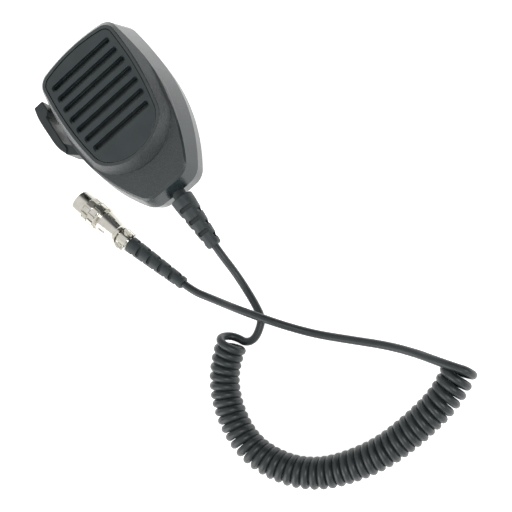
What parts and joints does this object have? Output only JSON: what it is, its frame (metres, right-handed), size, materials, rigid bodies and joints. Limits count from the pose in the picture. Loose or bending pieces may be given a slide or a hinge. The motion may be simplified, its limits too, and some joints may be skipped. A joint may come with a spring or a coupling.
{
  "type": "hand microphone",
  "caption": "Fist microphone with a slotted grille, a side push-to-talk lever, a rear hang button, a curly cord and a round push-pull plug.",
  "frame": {"origin": "centre of the hang button's flat face, which stands on the table", "axes": "+Z out of the front grille, +Y towards the top of the case, +X to the right of somebody looking at the grille; the cord leaves towards -Y"},
  "size_m": [0.1189, 0.2554, 0.038],
  "materials": {
    "case": "fine satin texture",
    "panel": "smooth satin",
    "lever": "smooth satin",
    "cloth": "woven",
    "rubber": "matt",
    "cord": "satin",
    "boot": "satin",
    "nickel": "bright nickel plate",
    "steel": "zinc plated",
    "gold": "gold plated",
    "insulator": "moulded",
    "board": "solder mask",
    "component": "moulded",
    "aluminium": "satin",
    "white_nylon": "moulded",
    "wire": "insulation",
    "spring": "drawn wire"
  },
  "bodies": {
    "root": {"front_shell": "case", "back_shell": "case", "case_seal": "rubber", "case_screws": "steel", "hang_button": "lever", "hang_button_screw": "steel", "grille_panel": "panel", "grille_cloth": "cloth", "capsule_holder": "rubber", "microphone_capsule": "aluminium", "capsule_leads": "steel", "circuit_board": "board", "board_screws": "steel", "board_components": "component", "cord_connector": "white_nylon", "ptt_switch": "component", "hinge_pin": "steel", "ptt_spring": "spring", "cord_microphone_end": "cord", "cord_plug_end": "cord", "cord_coil": "cord", "cord_inner_end": "cord", "cord_tie": "white_nylon", "cord_wires": "wire", "microphone_boot": "boot", "plug_barrel": "nickel", "plug_insulator": "insulator", "plug_contacts": "gold", "plug_backshell": "nickel", "cable_clamp": "nickel", "clamp_screws": "nickel", "plug_boot": "boot"},
    "lever": {"ptt_lever": "lever"},
    "plunger": {"ptt_plunger": "component"},
    "sleeve": {"coupling_sleeve": "nickel"}
  },
  "joints": [
    {"name": "ptt_press", "type": "hinge", "parent": "root", "child": "lever", "pos_m": [-0.028, 0.002, 0.0192], "axis": [0, 0, -1], "range_deg": [0, 3.5], "stiffness_Nm_per_rad": 0.1, "springref_deg": -14.32},
    {"name": "plunger_slide", "type": "slide", "parent": "root", "child": "plunger", "axis": [1, 0, 0], "range_m": [0, 0.002], "deforming": ["ptt_spring"]},
    {"name": "sleeve_pull", "type": "slide", "parent": "root", "child": "sleeve", "axis": [0.2617, -0.9632, -0.061], "range_m": [0, 0.0012], "stiffness_N_per_m": 300, "springref_m": -0.004}
  ],
  "couplings": [
    {"joint": "plunger_slide", "follows": "ptt_press", "m_per_rad": 0.0312}
  ]
}
